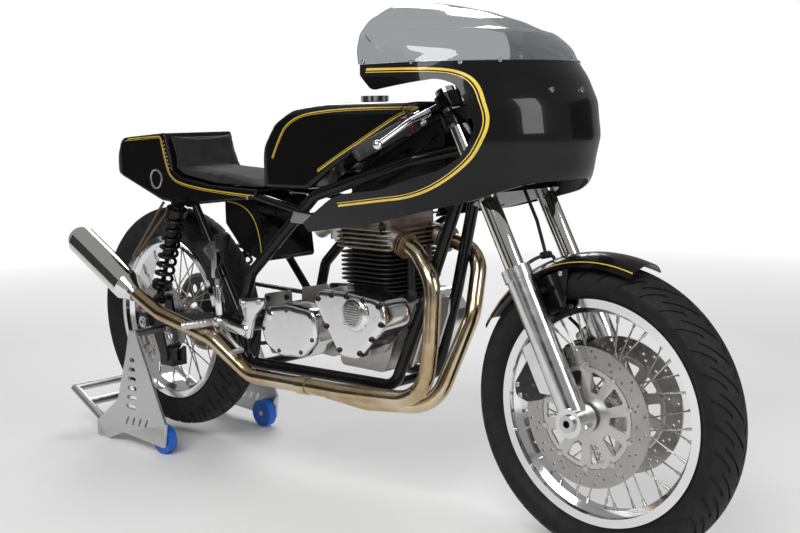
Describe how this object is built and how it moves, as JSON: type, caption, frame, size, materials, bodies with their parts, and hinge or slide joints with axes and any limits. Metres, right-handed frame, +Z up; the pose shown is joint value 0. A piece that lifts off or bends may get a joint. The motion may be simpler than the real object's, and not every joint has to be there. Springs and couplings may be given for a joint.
{
  "type": "cafe racer motorcycle",
  "caption": "Half-faired cafe racer motorcycle with wire-spoked wheels, an open parallel-twin engine and a single low exhaust, standing on its rear paddock stand.",
  "frame": {"origin": "on the floor, under the middle of the machine's length, on its centre plane", "axes": "+X forward, +Y to the rider's left, +Z up"},
  "size_m": [2.1453, 0.6704, 1.204],
  "materials": {
    "gloss_black": "gloss black paint",
    "black_frame": "gloss black enamel",
    "polished_alloy": "polished",
    "brushed_alloy": "brushed",
    "stainless": "bright",
    "straw_steel": "heat-tinted",
    "chrome": "polished",
    "tyre_rubber": "matt",
    "grip_rubber": "matt",
    "black_fins": "satin black",
    "dark_metal": "satin dark grey",
    "chain_steel": "oiled",
    "seat_leather": "suede",
    "smoked_screen": "smoked clear",
    "blue_roller": "moulded"
  },
  "bodies": {
    "chassis": {"carburettors": "brushed_alloy", "crankcase": "brushed_alloy", "cylinder_block": "black_fins", "cylinder_head": "brushed_alloy", "drive_chain": "chain_steel", "engine_plates": "brushed_alloy", "exhaust_headers": "straw_steel", "fairing": "gloss_black", "fairing_brackets": "brushed_alloy", "fairing_stay": "black_frame", "filler_cap": "chrome", "fuel_tank": "gloss_black", "gearbox": "brushed_alloy", "gearbox_cover": "polished_alloy", "main_frame": "black_frame", "oil_tank": "gloss_black", "paddock_stand": "brushed_alloy", "primary_cover": "polished_alloy", "rear_axle": "stainless", "rear_caliper": "dark_metal", "rearsets": "polished_alloy", "screen": "smoked_screen", "seat_pad": "seat_leather", "seat_unit": "gloss_black", "shock_absorbers": "black_frame", "silencer": "chrome", "swingarm": "black_frame", "timing_cover": "polished_alloy"},
    "fork": {"fork_sliders": "polished_alloy", "fork_stanchions": "chrome", "front_axle": "stainless", "fork_yokes": "black_frame", "clip_ons": "black_frame", "grips": "grip_rubber", "hand_levers": "polished_alloy", "instruments": "dark_metal", "front_mudguard": "gloss_black", "front_calipers": "dark_metal"},
    "front_wheel": {"front_tyre": "tyre_rubber", "front_rim": "polished_alloy", "front_hub": "stainless", "front_discs": "brushed_alloy"},
    "rear_wheel": {"rear_tyre": "tyre_rubber", "rear_rim": "polished_alloy", "rear_hub": "stainless", "rear_disc": "brushed_alloy", "rear_sprocket": "dark_metal"},
    "right_roller": {"roller_right": "blue_roller"},
    "left_roller": {"roller_left": "blue_roller"}
  },
  "joints": [
    {"name": "steering", "type": "hinge", "parent": "chassis", "child": "fork", "pos_m": [0.43876, 0, 0.8289], "axis": [-0.454, 0, 0.891], "range_deg": [-20, 20]},
    {"name": "front_wheel_spin", "type": "hinge", "parent": "fork", "child": "front_wheel", "pos_m": [0.7557, 0, 0.317], "axis": [0, 1, 0], "continuous": true},
    {"name": "rear_wheel_spin", "type": "hinge", "parent": "chassis", "child": "rear_wheel", "pos_m": [-0.7443, 0, 0.3544], "axis": [0, 1, 0], "continuous": true},
    {"name": "right_roller_spin", "type": "hinge", "parent": "chassis", "child": "right_roller", "pos_m": [-0.5903, 0, 0.041], "axis": [0, 1, 0], "continuous": true},
    {"name": "left_roller_spin", "type": "hinge", "parent": "chassis", "child": "left_roller", "pos_m": [-0.5903, 0, 0.041], "axis": [0, 1, 0], "continuous": true}
  ]
}
